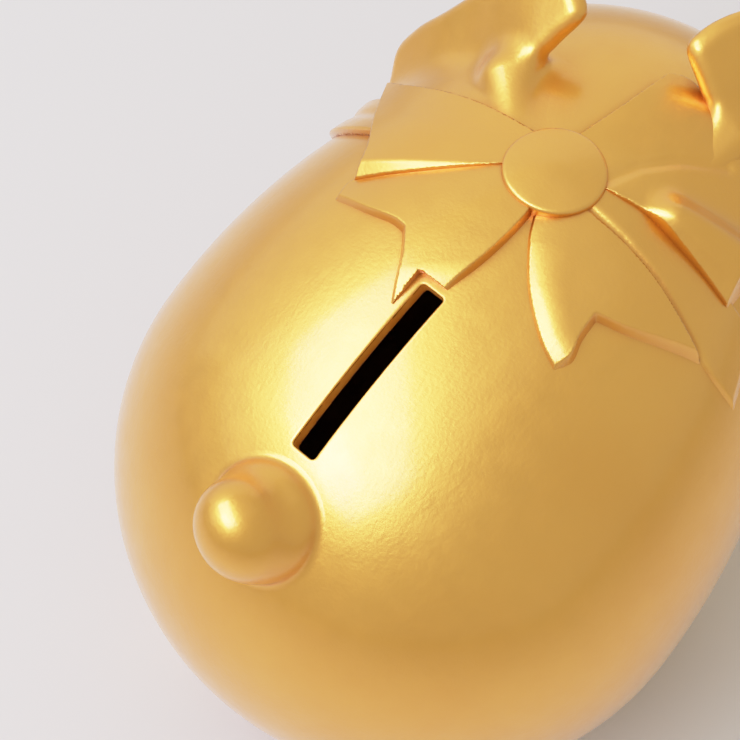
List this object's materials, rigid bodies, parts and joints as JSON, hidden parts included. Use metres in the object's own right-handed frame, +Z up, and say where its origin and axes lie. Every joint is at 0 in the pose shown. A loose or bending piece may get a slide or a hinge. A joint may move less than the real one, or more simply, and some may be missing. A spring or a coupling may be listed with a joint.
{
  "type": "piggy bank",
  "caption": "Gold-painted ceramic pig coin bank with a ribbon bow on its nape, a coin slot along its back and a rubber stopper in its belly.",
  "frame": {"origin": "on the floor, below the middle of the pig's bounding box", "axes": "+Z up, -Y the way the pig's body faces, +Y towards its tail, +X to the pig's own left"},
  "size_m": [0.12, 0.1632, 0.1459],
  "materials": {
    "gold_paint": "satin metallic gold paint under a thin clear coat, over fired ceramic",
    "stopper_rubber": "matt moulded rubber"
  },
  "bodies": {
    "pig": {"body_shell": "gold_paint", "head_shell": "gold_paint", "neck_ribbon": "gold_paint", "snout": "gold_paint", "left_ear": "gold_paint", "right_ear": "gold_paint", "left_eye": "gold_paint", "right_eye": "gold_paint", "tail": "gold_paint", "bow_knot": "gold_paint", "bow_left_loop": "gold_paint", "bow_right_loop": "gold_paint", "bow_left_tail": "gold_paint", "bow_right_tail": "gold_paint", "front_left_leg": "gold_paint", "front_right_leg": "gold_paint", "rear_left_leg": "gold_paint", "rear_right_leg": "gold_paint"},
    "stopper": {"belly_stopper": "stopper_rubber"}
  },
  "joints": [
    {"name": "stopper_pull", "type": "slide", "parent": "pig", "child": "stopper", "axis": [0, 0, -1], "range_m": [0, 0.025]}
  ]
}
